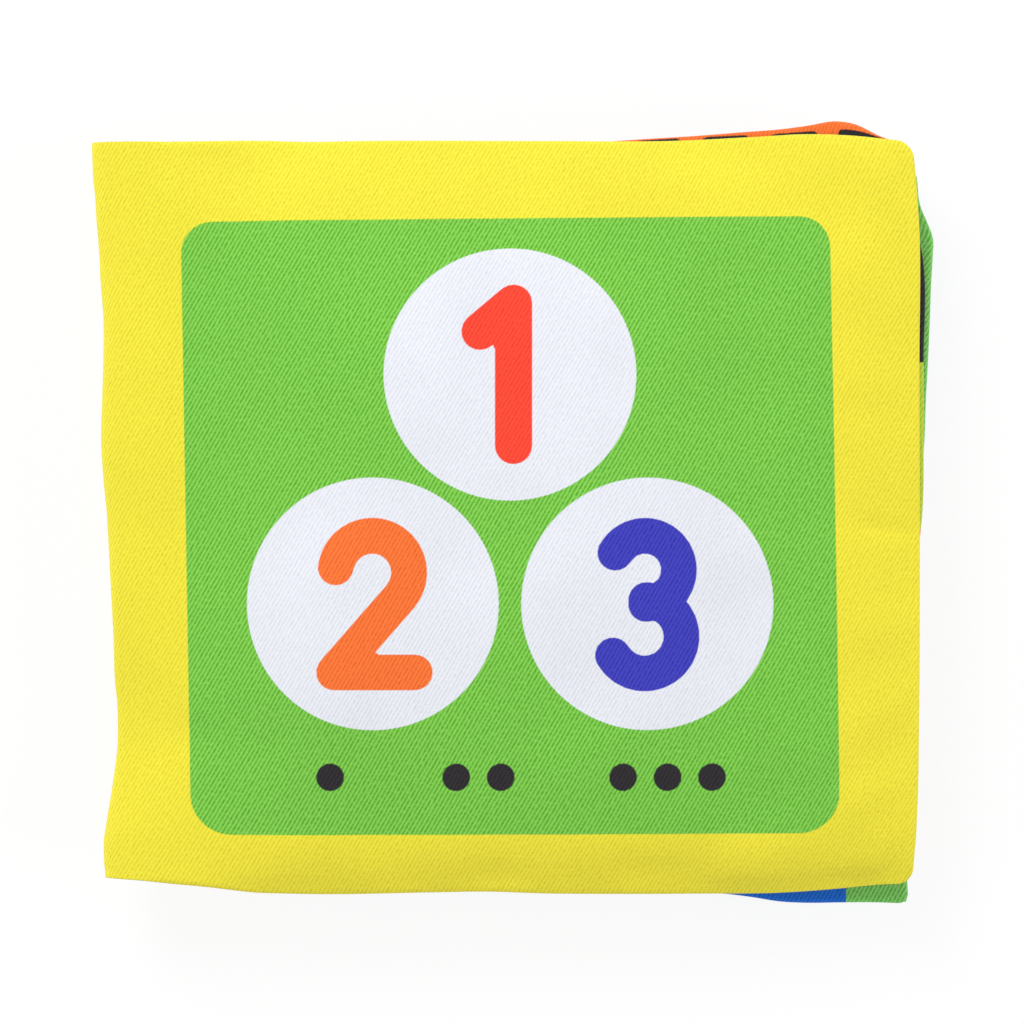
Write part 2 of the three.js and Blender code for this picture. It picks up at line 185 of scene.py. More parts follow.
# Head, tail and fore say how far a leaf stands out there: (share of its width, mm) or (y, mm). They follow
# the photo where an edge shows.
leaves = {
    "frontCoverPad": {
        "body": "front_cover", "level": 3, "extraReach": 0, "rise": 0, "corner": 2.2, "fill": 0.4,
        "replaces": ["front_cover_outer_cloth", "front_cover_inner_cloth"], "slot": "cover_twill",
        "cloths": ("coverPrintedTwill", "insideFrontTwill"),
        "lip": {"length": 7.6, "noseHeight": 1.6, "endTurn": 8, "overShare": 0.7, "rows": 32},
        "head": [(0, -0.42), (0.06, -0.3), (0.13, -0.28), (0.18, -0.42), (0.25, -0.3), (0.5, -0.3),
                 (0.68, -0.25), (0.78, 0.25), (0.86, 0.66), (0.92, 0.45), (0.98, -0.15), (1, -0.3)],
        "tail": [(0, -0.42), (0.06, -0.2), (0.12, -0.38), (0.2, -0.55), (0.35, -0.3), (0.42, -0.2),
                 (0.5, -0.45), (0.55, -0.5), (0.7, -0.5), (0.82, -0.45), (0.9, 0.1), (0.96, 0.7), (1, 0.8)],
        "fore": [(-51, -1), (-47.3, -0.9), (-43.9, -0.65), (-38.5, -0.4), (-30, -0.25), (-10, -0.15),
                 (20, -0.2), (40, -0.25), (48.4, -0.9), (51, -1.2)],
        "upperRelief": 0.17, "lowerRelief": 0.06, "seed": 5,
    },
    "firstLeafPad": {
        "body": "first_leaf", "level": 2, "extraReach": 0.1, "rise": 0, "corner": 3, "fill": 0.35,
        "replaces": ["first_leaf_front_cloth", "first_leaf_back_cloth"], "slot": "orange_page_twill",
        "cloths": ("firstPageTwill", "secondPageTwill"),
        "head": [(0, -0.9), (0.2, -0.9), (0.45, -0.7), (0.55, -0.3), (0.64, 0.3), (0.7, 0.66), (0.77, 1.2),
                 (0.83, 1.68), (0.865, 2.15), (0.9, 2.7), (0.93, 2.25), (0.965, 0.5), (1, -0.4)],
        "tail": [(0, 0.3), (0.3, 1.2), (0.6, 1.5), (0.9, 1.6), (1, 1.7)],
        "fore": [(-50, -0.9), (-40, -0.7), (-20, -0.4), (-4, 0), (0, 0.4), (10, 0.6), (21, 0.6), (34, 0.6),
                 (36, 0.35), (38, -0.25), (41, -0.5), (48, -0.9), (53, -1.8)],
        "upperRelief": 0.06, "lowerRelief": 0.05, "seed": 37,
    },
    "secondLeafPad": {
        "body": "second_leaf", "level": 1, "extraReach": 0.1, "rise": -1.4, "corner": 0.95, "fill": 0.35,
        "replaces": ["second_leaf_front_cloth", "second_leaf_back_cloth"], "slot": "green_page_twill",
        "cloths": ("thirdPageTwill", "fourthPageTwill"),
        "head": [(0, 0), (0.3, -0.8), (0.6, -0.9), (0.85, -1), (0.95, -1.6), (1, -2.2)],
        "tail": [(0, 0.2), (0.3, 0.9), (0.5, 0.9), (0.62, 0.6), (0.7, 0.3), (0.755, -0.05), (0.785, -0.4),
                 (0.82, -0.9), (0.86, -1.05), (0.9, -0.95), (0.95, -0.85), (1, -0.95)],
        "fore": [(-52, -1.25), (-49, -1.4), (-45, -1.5), (-38, -1.2), (-30, -0.9), (-15, -0.5), (0, 0.05),
                 (5, 0.55), (10, 1), (15.6, 1.2), (21, 1.5), (26.6, 1.75), (32, 1.95), (35.5, 2.15),
                 (37.8, 2.2), (40.2, 1.35), (42.2, 0.5), (43.5, 0.2), (45, 0.1), (50, -0.6)],
        "upperRelief": 0.06, "lowerRelief": 0.05, "seed": 23,
    },
    "backCoverPad": {
        "body": "back_cover", "level": 0, "extraReach": 0.4, "rise": 0, "corner": 3, "fill": 0.35,
        "replaces": ["back_cover_outer_cloth", "back_cover_inner_cloth", "cover_spine_outer_cloth"],
        "slot": "cover_twill", "cloths": ("insideBackTwill", "backPrintedTwill"),
        "lip": {"length": 13.7, "from": 270, "to": 75, "rows": 62},
        "head": [(0, -0.8), (0.3, -0.9), (0.6, -0.9), (0.85, -0.5), (1, -0.4)],
        "tail": [(0, 0.2), (0.3, 0.6), (0.5, 0.8), (0.8, 0.6), (1, 0.9)],
        "fore": [(-51, -1.6), (-44, -1.2), (-30, -0.5), (-15, -0.35), (0, -0.2), (20, -0.5), (40, -0.8),
                 (51, -1.4)],
        "upperRelief": 0.07, "lowerRelief": 0, "seed": 11,
    },
}

spineCloth = {                      # the cover's cloth where it passes round the sewn fold
    "wrapThickness": 0.22, "coverThickness": 0.26, "clearance": 0.06, "settle": 9, "leastPadding": 0.18,
    "grooveDepth": 0.6, "grooveSpread": 20,
    "outline": [(-49.2, 3), (-48.9, 3.75), (-48.2, 4.3), (-46.6, 4.5), (-43.9, 4.5), (-41.2, 3.95),
                (-38.5, 3.5), (-33, 2.85), (-30.3, 2.6), (-27.6, 2.6), (-22.2, 3.1), (-16.8, 3.25),
                (-11.3, 3.5), (-5.9, 3.8), (-0.5, 4.07), (5, 4.6), (10.4, 4.9), (15.8, 4.75), (21.2, 4.6),
                (26.7, 4.6), (32.1, 5), (37.5, 5.3), (40.2, 5.55), (43, 5.7), (45.7, 5.97), (48.4, 6.1),
                (49.7, 6.15), (50.6, 6.15)],
}
hug = {                             # how a leaf's cloth leaves the round of the fold
    "radius": 4.55, "radiusReached": 3.5, "leavesAt": 4.2, "pinchedTo": 3, "drawnShare": 0.15,
}


def wrapRadius(y):
    return book["spineRadius"] * spineShare(y)


def planOf(leaf, u, v):             # where a point of the flat leaf lies, seen from above
    half = book["halfHeight"]
    along = (u - book["clearRadius"]) / (leaf["reach"] - book["clearRadius"])
    head = curveThrough(leaf["head"], along) * np.maximum(0, v / half)
    tail = curveThrough(leaf["tail"], along) * np.maximum(0, -v / half)
    y = v + head + tail + leaf["rise"] * np.maximum(0, along)
    x = u + curveThrough(leaf["fore"], y) * np.maximum(0, 1 - (leaf["reach"] - u) / forePullWidth)
    return x, y + tailRise(x, v)


# A leaf's two cloths are cut a little too large for its sewn edge. A coarse copy of them, held all round, is
# blown up by the cloth simulation, and the creases that it throws are laid on the leaf's own form.
blowing = {
    "step": 2.2, "ease": 0.01, "pressure": 10, "stiffness": 15, "bending": 12, "quality": 5, "frames": 20,
    "broadest": 3, "finest": 0.6, "cap": 0.8, "share": 2.6, "fadeWidth": 1.4,
}


def blurred(field, spread):
    far = math.ceil(3 * spread)
    weights = np.exp(-(np.arange(-far, far + 1) / spread) ** 2 / 2)
    weights /= weights.sum()
    for axis in (0, 1):
        field = np.apply_along_axis(
            lambda line: np.convolve(np.pad(line, far, mode="edge"), weights, "valid"), axis, field)
    return field


def looseCloths(leaf, gridU, gridV):        # the coarse copy, its rim pinned, before it is blown up
    x, y = planOf(leaf, gridU, gridV)
    heights = leafFaces(leaf["level"], x, y, 0)
    points = np.concatenate([np.stack([x, y, z], axis=-1).reshape(-1, 3) for z in heights])
    ids = np.arange(gridU.size).reshape(gridU.shape)
    rim = np.ones(gridU.shape, bool)
    rim[1:-1, 1:-1] = False
    mesh = bpy.data.meshes.new("looseCloths")
    mesh.from_pydata((points / 1000).tolist(), [], gridFaces(ids) + gridFaces((ids + gridU.size).T))
    bag = newObject("looseCloths", mesh)
    pinned = np.concatenate([ids[rim], ids[rim] + gridU.size])
    bag.vertex_groups.new(name="seam").add(pinned.tolist(), 1, "ADD")
    return bag, points


def blowUp(leaf):                   # the creases of the upper and the lower cloth, on a coarse grid
    step, half = blowing["step"], book["halfHeight"]
    start = leaf["reach"] % step + step * (0 if "lip" in leaf else 2)
    lineU = np.linspace(start, leaf["reach"], round((leaf["reach"] - start) / step) + 1)
    lineV = np.linspace(-half, half, round(2 * half / step) + 1)
    gridU, gridV = np.meshgrid(lineU, lineV, indexing="ij")
    bag, points = looseCloths(leaf, gridU, gridV)
    modifier = bag.modifiers.new("cloth", "CLOTH")
    cloth = modifier.settings
    cloth.quality, cloth.vertex_group_mass = blowing["quality"], "seam"
    cloth.tension_stiffness = cloth.compression_stiffness = blowing["stiffness"]
    cloth.bending_stiffness = blowing["bending"]
    cloth.shrink_min = cloth.shrink_max = -blowing["ease"]
    cloth.use_pressure, cloth.uniform_pressure_force = True, blowing["pressure"]
    cloth.effector_weights.gravity = 0
    modifier.collision_settings.use_collision = False
    modifier.point_cache.frame_start, modifier.point_cache.frame_end = 1, blowing["frames"]
    for frameNumber in range(1, blowing["frames"] + 1):
        scene.frame_set(frameNumber)
    blown = bag.evaluated_get(bpy.context.evaluated_depsgraph_get()).data
    after = np.empty(points.size)
    blown.vertices.foreach_get("co", after)
    scene.frame_set(1)
    mesh = bag.data
    bpy.data.objects.remove(bag)
    bpy.data.meshes.remove(mesh)
    lift = (after.reshape(-1, 3)[:, 2] * 1000 - points[:, 2]).reshape(2, *gridU.shape)
    creases = [blurred(one - blurred(one, blowing["broadest"]), blowing["finest"]) for one in lift]
    print(leaf["body"], "cloth creases", round(float(np.std(creases)), 3), "mm")
    return lineU, lineV, np.clip(creases, -blowing["cap"], blowing["cap"])


def readGrid(field, lineU, lineV, u, v):    # a smooth reading of a coarse grid
    def taps(lines, at):
        place = np.clip((at - lines[0]) / (lines[1] - lines[0]), 0, len(lines) - 1.001)
        k = place.astype(int)
        t = place - k
        weights = (-0.5 * t + t**2 - 0.5 * t**3, 1 - 2.5 * t**2 + 1.5 * t**3,
                   0.5 * t + 2 * t**2 - 1.5 * t**3, -0.5 * t**2 + 0.5 * t**3)
        return [(np.clip(k + i - 1, 0, len(lines) - 1), weight) for i, weight in enumerate(weights)]
    return sum(field[i, j] * a * b for i, a in taps(lineU, u) for j, b in taps(lineV, v))


def reliefOf(leaf, side, u, v, toEdge):     # side 0 is the upper face, 1 the lower
    size = leaf["lowerRelief"] if side else leaf["upperRelief"]
    seed = leaf["seed"] + 100 * side
    padding = ripples(u, v, seed, *relief["broad"])
    padding = padding + ripples(u, v, seed + 1, *relief["quilted"]) * relief["quiltedShare"]
    lineU, lineV, creases = leaf["creases"]
    creased = readGrid(creases[side], lineU, lineV, u, v) * blowing["share"]
    padding = padding * smooth(toEdge, 0, relief["rimWidth"])
    creased = creased * smooth(toEdge, 0, blowing["fadeWidth"])
    return size * (padding + creased) * smooth(u, *relief["spineFade"])


coverDents = [                      # start, end, width and depth
    ((96, -1.2), (107, -2.6), 1.2, 0.35), ((88, 7), (98, 5), 2.6, 0.16), ((90, 15), (104, 13), 2.2, 0.1),
    ((84, -49.5), (106, -48.6), 1.8, 0.35), ((42, -48.9), (56, -49.1), 2, 0.3),
    ((15, 48), (30, 46.5), 2.4, 0.12), ((1, -29), (14, -31), 3, 0.4), ((3, 36), (12, 30), 3, 0.15),
    ((62, -47.6), (80, -49), 2, 0.25),
]
dentEnd = 0.04                      # the share of a dent's length at which it starts from nothing
tailDroop = {                       # the cover's tail border bows down to its seam, most near the fore-edge
    "width": 8, "depth": 0.9, "along": (0, 20), "foreDepth": 0.6, "foreAlong": (70, 95),
    "cornerWidth": 3, "cornerDepth": 0.7, "cornerFrom": (70, 86), "cornerTo": (98, 105),
}


def softDent(x, y, dent):           # a soft crease between two points
    (ax, ay), (bx, by), width, depth = dent
    px, py, dx, dy = x - ax, y - ay, bx - ax, by - ay
    t = np.clip((px * dx + py * dy) / (dx * dx + dy * dy), 0, 1)
    away = np.hypot(px - t * dx, py - t * dy)
    ends = np.sin(math.pi * np.clip(t, dentEnd, 1 - dentEnd))
    return -depth * np.exp(-(away / width) ** 2) * ends


def hugging(x, start, end):         # height of a face that leaves the round of the fold
    around = mix(start, hug["radius"], smooth(x, 0, hug["radiusReached"]))
    away = np.where(x < hug["leavesAt"], np.sqrt(np.maximum(around**2 - x**2, 0)), 0)
    pinched = mix(start, end, smooth(x, 0, hug["pinchedTo"]))
    drawnIn = np.clip((1 - start / book["spineRadius"]) / hug["drawnShare"], 0, 1)
    return mix(np.maximum(away, end), pinched, drawnIn)


def frontCoverFaces(top, bottom, u, v, x, y):       # its dents and drooping tail, and its way off the fold
    half, least = book["halfHeight"], spineCloth["leastPadding"]
    for dent in coverDents:
        top = top + softDent(x, y, dent)
    droop = np.clip(1 - (half + v) / tailDroop["width"], 0, 1) ** 2
    deep = tailDroop["depth"] * smooth(u, *tailDroop["along"])
    top = top - droop * (deep + tailDroop["foreDepth"] * smooth(u, *tailDroop["foreAlong"]))
    rolled = tailDroop["cornerDepth"] * smooth(-v, half - tailDroop["cornerWidth"], half)
    rolled = rolled * smooth(u, *tailDroop["cornerFrom"]) * (1 - smooth(u, *tailDroop["cornerTo"]))
    top, bottom = top - rolled, bottom - rolled
    inner = wrapRadius(v) + spineCloth["clearance"]
    top = mix(inner + spineCloth["coverThickness"], top, smooth(x, 0, spineCloth["settle"]))
    bottom = np.clip(hugging(x, inner, np.abs(bottom)), bottom, np.maximum(bottom, top - least))
    return top, bottom


def backCoverFaces(top, bottom, v, x):      # its way off the fold, whose underside it wraps
    radius = wrapRadius(v)
    bottom = mix(-radius, bottom, smooth(x, 0, spineCloth["settle"]))
    lowest = np.minimum(bottom + spineCloth["leastPadding"], top)
    return np.clip(-hugging(x, radius - spineCloth["wrapThickness"], np.abs(top)), lowest, top), bottom


def sectionOf(leaf, u, v, x, y):    # the upper and the lower face's place across the book, each (x, z)
    toSide = book["halfHeight"] - np.abs(v)
    toFore = leaf["reach"] - u
    near = np.minimum(1, np.clip(1 - toSide / book["pinchWidth"], 0, 1) ** 2
                      + np.clip(1 - toFore / book["pinchWidth"], 0, 1) ** 2)
    top, bottom = leafFaces(leaf["level"], x, y, near)
    toEdge = np.maximum(0, np.minimum(toSide, toFore))
    top = top + reliefOf(leaf, 0, u, v, toEdge)
    bottom = np.maximum(bottom + reliefOf(leaf, 1, u, v, toEdge), -book["axisHeight"])
    if "lip" not in leaf:
        return (x, top), (x, bottom)
    if leaf["body"] == "front_cover":
        bend = noseSection
        top, bottom = frontCoverFaces(top, bottom, u, v, x, y)
    else:
        bend = wrapSection
        top, bottom = backCoverFaces(top, bottom, v, x)
    bentFaces = bend(wrapRadius(v), np.clip(-u / leaf["lip"]["length"], 0, 1), y, leaf["lip"])
    return [tuple(np.where(u < 0, one, other) for one, other in zip(bent, straight))
            for bent, straight in zip(bentFaces, ((x, top), (x, bottom)))]


def grooveRadius(radius, away):     # the fold's outside, pulled in along the stitches; away is in degrees
    pulledIn = spineCloth["grooveDepth"] * np.exp(-(away / spineCloth["grooveSpread"]) ** 2)
    return radius * (1 - pulledIn / book["spineRadius"])


def wrapSection(radius, t, _, lip):         # the back cover's cloth, round the fold from below
    turn = np.radians(mix(lip["from"], lip["to"], t))
    outer = grooveRadius(radius, np.degrees(turn) - 180)
    inner = outer - spineCloth["wrapThickness"]
    return (np.cos(turn) * inner, np.sin(turn) * inner), (np.cos(turn) * outer, np.sin(turn) * outer)


def noseSection(radius, t, y, lip):         # the front cover's, over the fold and back in under the stitches
    thickness = spineCloth["coverThickness"]
    upright = radius + spineCloth["clearance"] + thickness
    reach = np.maximum(upright, curveThrough(spineCloth["outline"], y))
    nose = lip["noseHeight"] * radius / book["spineRadius"]
    endTurn = math.radians(lip["endTurn"])
    endX, endZ = upright * math.cos(endTurn), upright * math.sin(endTurn)
    over = np.clip(t / lip["overShare"], 0, 1) * math.pi / 2
    under = np.clip((t - lip["overShare"]) / (1 - lip["overShare"]), 0, 1) * math.pi / 2
    x = np.where(under > 0, -mix(endX, reach, np.cos(under)), -reach * np.sin(over))
    z = np.where(under > 0, mix(nose, endZ, np.sin(under)), mix(nose, upright, np.cos(over)))
    inX = np.where(under > 0, np.cos(under), np.sin(over)) * thickness
    inZ = np.where(under > 0, np.sin(under), -np.cos(over)) * thickness
    return (x, z), (x + inX, z + inZ)


def flatLeaf(leaf):                 # its flat mesh, squeezed into round corners, and each point's way out
    width, radius = roll["width"], leaf["corner"] - roll["width"]
    start = 0 if "lip" in leaf else book["clearRadius"] - innerEnd["overlap"]
    uLines = gridLines(start, leaf["reach"] - width, leafGrid, fineStart="lip" in leaf)
    if "lip" in leaf:
        bend = np.linspace(-leaf["lip"]["length"], 0, leaf["lip"]["rows"] + 1)
        uLines = np.concatenate([bend, uLines[1:]])
    far = book["halfHeight"] - width
    gridU, gridV = np.meshgrid(uLines, gridLines(-far, far, leafGrid), indexing="ij")
    cornerU, cornerV = leaf["reach"] - width - radius, far - radius
    a = np.clip((gridU - cornerU) / radius, 0, 1)
    b = np.clip((np.abs(gridV) - cornerV) / radius, 0, 1)
    outU = a * np.sqrt(1 - b * b / 2)
    outV = b * np.sqrt(1 - a * a / 2)
    u = np.where(a > 0, cornerU + radius * outU, gridU)
    v = np.where(b > 0, np.sign(gridV) * (cornerV + radius * outV), gridV)
    return u, v, outU, np.sign(gridV) * outV


def outwardAlong(rim, rows, outU, outV):    # unit directions, square to the three sewn sides
    outward = np.stack([outU.ravel()[rim], outV.ravel()[rim]], axis=1)
    onFore = (outward[:, 0] > 0.999) | (np.abs(outward[:, 1]) < 1e-6)
    outward[onFore] = [1, 0]
    outward[:rows][outward[:rows, 0] == 0] = [0, -1]
    outward[-rows:][outward[-rows:, 0] == 0] = [0, 1]
    return outward / np.linalg.norm(outward, axis=1)[:, None]


def rolledRim():                    # how far out and how high each ring of the rolled edge lies, and its arc
    rolled = []
    for turn in np.radians(roll["turns"]):
        height = mix(roll["centreShare"], 1, math.sin(turn))
        rolled.append((roll["width"] * math.cos(turn), height, roll["arcRadius"] * (math.pi / 2 - turn)))
    seam = (roll["width"] * roll["seamShare"], 0, rolled[-1][2] + roll["toSeam"])
    mirrored = [(reach, -height, arc) for reach, height, arc in reversed(rolled)]
    return np.array([*rolled, seam, *mirrored]).T


def unroll(leaf, cloth, points, ids, lowerIds, rings):      # round the fold, the cloth is as long as its bend
    rows = leaf["lip"]["rows"] + 1
    steps = np.linalg.norm(np.diff(points[ids[:rows]], axis=0), axis=-1)
    run = np.concatenate([np.cumsum(steps[::-1], axis=0)[::-1], np.zeros((1, ids.shape[1]))])
    for ring in rings:
        cloth[ring[:rows], 0], cloth[ring[-rows:], 0] = -run[:, 0], -run[::-1, -1]
    for grid in (ids, lowerIds):
        cloth[grid[:rows], 0] = -run


def bagFaces(ids, lowerIds, levels, closing):       # the leaf's faces, and which of its two cloths each is on
    faces = gridFaces(ids) + gridFaces(lowerIds.T)
    side = [0] * (len(faces) // 2) + [1] * (len(faces) // 2)
    for k, band in enumerate(zip(levels[:-1], levels[1:])):
        band = gridFaces(np.stack(band))
        faces += band
        side += [int(k >= len(levels) // 2)] * len(band)
    ends = [lowerIds[0], *closing, ids[0]]
    for band in zip(ends[:-1], ends[1:]):
        faces += gridFaces(np.stack(band))
    faces.append([int(level[0]) for level in levels[::-1]] + [int(line[0]) for line in closing[::-1]])
    faces.append([int(level[-1]) for level in levels] + [int(line[-1]) for line in closing])
    return faces, side + [1] * (len(faces) - len(side))


def makeLeaf(name, leaf):
    leaf["reach"] = book["reach"] + leaf["extraReach"]
    leaf["creases"] = blowUp(leaf)
    cover = "lip" in leaf
    u, v, outU, outV = flatLeaf(leaf)
    rows, columns = u.shape
    ids = np.arange(u.size).reshape(rows, columns)
    rim = np.concatenate([ids[:, 0], ids[-1, 1:], ids[-2::-1, -1]])
    outward = outwardAlong(rim, rows, outU, outV)
    reach, height, wound = rolledRim()
    rings = u.size + np.arange(len(reach) * len(rim)).reshape(len(reach), len(rim))
    lowerIds = ids + u.size + rings.size
    levels = [rim, *rings, rim + u.size + rings.size]

    rolledU, rolledV = [flat.ravel()[rim] + reach[:, None] * outward[:, k] for k, flat in enumerate((u, v))]
    flatU = np.concatenate([u.ravel(), rolledU.ravel(), u.ravel()])
    flatV = np.concatenate([v.ravel(), rolledV.ravel(), v.ravel()])
    share = np.concatenate([np.ones(u.size), np.repeat(height, len(rim)), -np.ones(u.size)])
    x, y = planOf(leaf, flatU, flatV)
    upper, lower = sectionOf(leaf, flatU, flatV, x, y)
    x, z = [(one + other) / 2 + share * (one - other) / 2 for one, other in zip(upper, lower)]
    inner = book["clearRadius"] - innerEnd["clearance"]
    if not cover:                   # the inner end lies on the clearance round the spine
        for line in (ids[0], lowerIds[0], rings[:, 0], rings[:, -1]):
            x[line] = np.sqrt(inner**2 - z[line] ** 2)
    points = np.stack([x, y, z], axis=1)

    cloth = np.stack([flatU, flatV], axis=1)        # places on the cloth laid flat, along its own surface
    cloth[rings] += (wound - reach)[:, None, None] * outward
    if cover:
        unroll(leaf, cloth, points, ids, lowerIds, rings)

    closing = []
    first, last = lowerIds[0], ids[0]
    for part in ([] if cover else innerEnd["closingShares"]):
        line = mix(points[first], points[last], part)
        line[:, 0] = np.sqrt(inner**2 - line[:, 2] ** 2)
        closing.append(np.arange(len(points), len(points) + columns))
        points = np.concatenate([points, line])
        cloth = np.concatenate([cloth, cloth[last]])
        flatU = np.concatenate([flatU, flatU[last]])
        flatV = np.concatenate([flatV, flatV[last]])

    faces, side = bagFaces(ids, lowerIds, levels, closing)
    attributes = {"flat": np.pad(cloth, ((0, 0), (0, 1)))}
    seen = leaf["body"] == "front_cover"            # its print is placed as the photo shows it
    at = (points[:, 0], points[:, 1]) if seen else (flatU, flatV)
    for title in (title for one in leaf["cloths"] for title in prints[one][1]):
        attributes[title] = printEdges[title](*at)
    piece = meshFrom(name, points, faces, [twills[one] for one in leaf["cloths"]], side, attributes)
    follow(piece, leaf)
    valley = rings[len(roll["turns"])]
    sewSeam(leaf, points[valley[flatU[valley] > seamThread["start"]]])
    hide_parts(*leaf["replaces"])
    print(name, len(points), "points")


def follow(piece, leaf):
    if leaf["body"] == "front_cover":
        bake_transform(piece)
    else:
        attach(piece, leaf["body"])


# The thread that closes each seam sways from one cloth to the other in the valley between them
seamThread = {"start": 2.4, "radius": 0.14, "stitch": 2.6, "sway": 0.1, "step": 0.4, "sides": 6}


def threadTree():                   # lays the swaying thread along a line of points
    tree = bpy.data.node_groups.new("swayingThread", "GeometryNodeTree")
    kinds = {"Line": "Geometry", "Thread": "Material", "Sides": "Int", "Radius": "Float", "Stitch": "Float",
             "Sway": "Float", "Step": "Float"}
    for title, kind in kinds.items():
        tree.interface.new_socket(title, in_out="INPUT", socket_type="NodeSocket" + kind)
    tree.interface.new_socket("Mesh", in_out="OUTPUT", socket_type="NodeSocketGeometry")
    given = addNode(tree, "NodeGroupInput").node.outputs
    line = addNode(tree, "GeometryNodeMeshToCurve", {"Mesh": given["Line"]})
    line = addNode(tree, "GeometryNodeResampleCurve", {"Curve": line, "Length": given["Step"]}, mode="LENGTH")
    along = addNode(tree, "GeometryNodeSplineParameter", read="Length")
    stitches = addNode(tree, "ShaderNodeMath", {0: along, 1: given["Stitch"]}, operation="DIVIDE")
    turn = addNode(tree, "ShaderNodeMath", {0: stitches, 1: math.tau}, operation="MULTIPLY")
    wave = addNode(tree, "ShaderNodeMath", {0: turn}, operation="SINE")
    lift = addNode(tree, "ShaderNodeMath", {0: wave, 1: given["Sway"]}, operation="MULTIPLY")
    offset = addNode(tree, "ShaderNodeCombineXYZ", {"Z": lift})
    line = addNode(tree, "GeometryNodeSetPosition", {"Geometry": line, "Offset": offset})
    section = addNode(tree, "GeometryNodeCurvePrimitiveCircle", {
        "Resolution": given["Sides"], "Radius": given["Radius"]})
    tube = addNode(tree, "GeometryNodeCurveToMesh", {
        "Curve": line, "Profile Curve": section, "Fill Caps": True})
    tube = addNode(tree, "GeometryNodeRealizeInstances", {"Geometry": tube})
    tube = addNode(tree, "GeometryNodeSetMaterial", {"Geometry": tube, "Material": given["Thread"]})
    addNode(tree, "NodeGroupOutput", {0: tube})
    return tree


def sewSeam(leaf, valley):
    name = leaf["body"] + "SewnSeam"
    line = bpy.data.meshes.new(name + "Line")
    ids = np.arange(len(valley))
    line.from_pydata(((valley + fold) / 1000).tolist(), np.stack([ids[:-1], ids[1:]], axis=1).tolist(), [])
    piece = newObject(name, line)
    modifier = piece.modifiers.new("thread", "NODES")
    modifier.node_group = seamTree
    given = {"Thread": thread, "Sides": seamThread["sides"]}
    given |= {title.capitalize(): seamThread[title] / 1000 for title in ("radius", "stitch", "sway", "step")}
    for socket in seamTree.interface.items_tree:
        if socket.name in given:
            modifier[socket.identifier] = given[socket.name]
    sewn = bpy.data.meshes.new_from_object(piece.evaluated_get(bpy.context.evaluated_depsgraph_get()))
    piece.modifiers.clear()
    piece.data = sewn
    sewn.name = name
    sewn.shade_smooth()
    bpy.data.meshes.remove(line)
    follow(piece, leaf)
    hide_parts(leaf["body"] + "_seam_thread")


# Prints. Each gives the distance in mm from its edge, below zero inside the printed shape.

def discAt(cx, cy, radius):
    return lambda x, y: np.hypot(x - cx, y - cy) - radius


def roundedPanel(cx, cy, halfX, halfY, corner, lean=0.0, tilt=0.0, flare=0.0, droop=0.0):
    def edge(x, y):
        radius = corner - droop * (y - cy) / halfY
        px = np.abs(x - cx + lean * (y - cy)) - halfX + radius
        py = np.abs(y - cy - tilt * (x - cx)) - (halfY + flare * (x - cx)) + radius
        return np.hypot(np.maximum(px, 0), np.maximum(py, 0)) + np.minimum(np.maximum(px, py), 0) - radius
    return edge


def joined(*edges):
    return lambda x, y: np.minimum.reduce([edge(x, y) for edge in edges])


def strokeAlong(path, halfWidth):
    path = np.array(path)

    def edge(x, y):
        nearest = np.full(np.shape(x), np.inf)
        for (ax, ay), (bx, by) in zip(path[:-1], path[1:]):
            dx, dy = bx - ax, by - ay
            t = np.clip(((x - ax) * dx + (y - ay) * dy) / (dx * dx + dy * dy), 0, 1)
            nearest = np.minimum(nearest, np.hypot(x - ax - t * dx, y - ay - t * dy))
        return nearest - halfWidth
    return edge


def arc(cx, cy, radius, start, end, steps=18):
    turns = np.radians(np.linspace(start, end, steps + 1))
    return [(cx + radius * math.cos(turn), cy + radius * math.sin(turn)) for turn in turns]


numerals = {                        # the middle line of each generic numeral, as shares of its half height
    1: [(-0.42, 0.6), (0.05, 1), (0.05, -1)],
    2: arc(0, 0.46, 0.54, 172, -38) + [(-0.56, -1), (0.62, -1)],
    3: arc(-0.04, 0.5, 0.5, 150, -88) + arc(-0.04, -0.48, 0.54, 88, -150),
}


def numeral(which, centre, halfHeight, halfWidth):
    path = [(centre[0] + px * halfHeight, centre[1] + py * halfHeight) for px, py in numerals[which]]
    return strokeAlong(path, halfWidth)


def ballRow(cx, cy, step, radius, count):
    return joined(*[discAt(cx + (k - (count - 1) / 2) * step, cy, radius) for k in range(count)])


panels = {                          # centre x and y, half width, half height and corner radius
    "frontSheet": (54, 0, 42, 40, 5), "firstSheet": (55, -1, 41, 40, 5), "pageSheet": (55.5, 0, 42, 41, 5),
    "limeBand": (106, 9.4, 3.3, 11.5, 0.6), "foreDash": (106, 30, 3.3, 9.1, 0.6),
    "bluePatch": (89, -48, 8.8, 7, 0.8), "backPanel": (51.5, 0, 43.9, 41.6, 4.1),
}
ballRows = {                        # centre x and y, step, radius and number of each row of balls to count
    "countingDots": [(26.5, -35.4, 6, 1.9, 1), (46.5, -35.4, 6, 1.9, 2), (72, -35.4, 6, 1.9, 3)],
    "oneBall": [(54, 0, 0, 21, 1)], "twoBalls": [(55, -1, 32, 13, 2)], "threeBalls": [(55.5, 0, 24, 9.5, 3)],
    "fourBalls": [(55.5, 16, 34, 9, 2), (55.5, -16, 34, 9, 2)],
    "fiveBalls": [(55.5, 16, 26, 8.5, 3), (55.5, -16, 34, 8.5, 2)],
    "sixBalls": [(55.5, 16, 26, 8, 3), (55.5, -16, 26, 8, 3)],
}
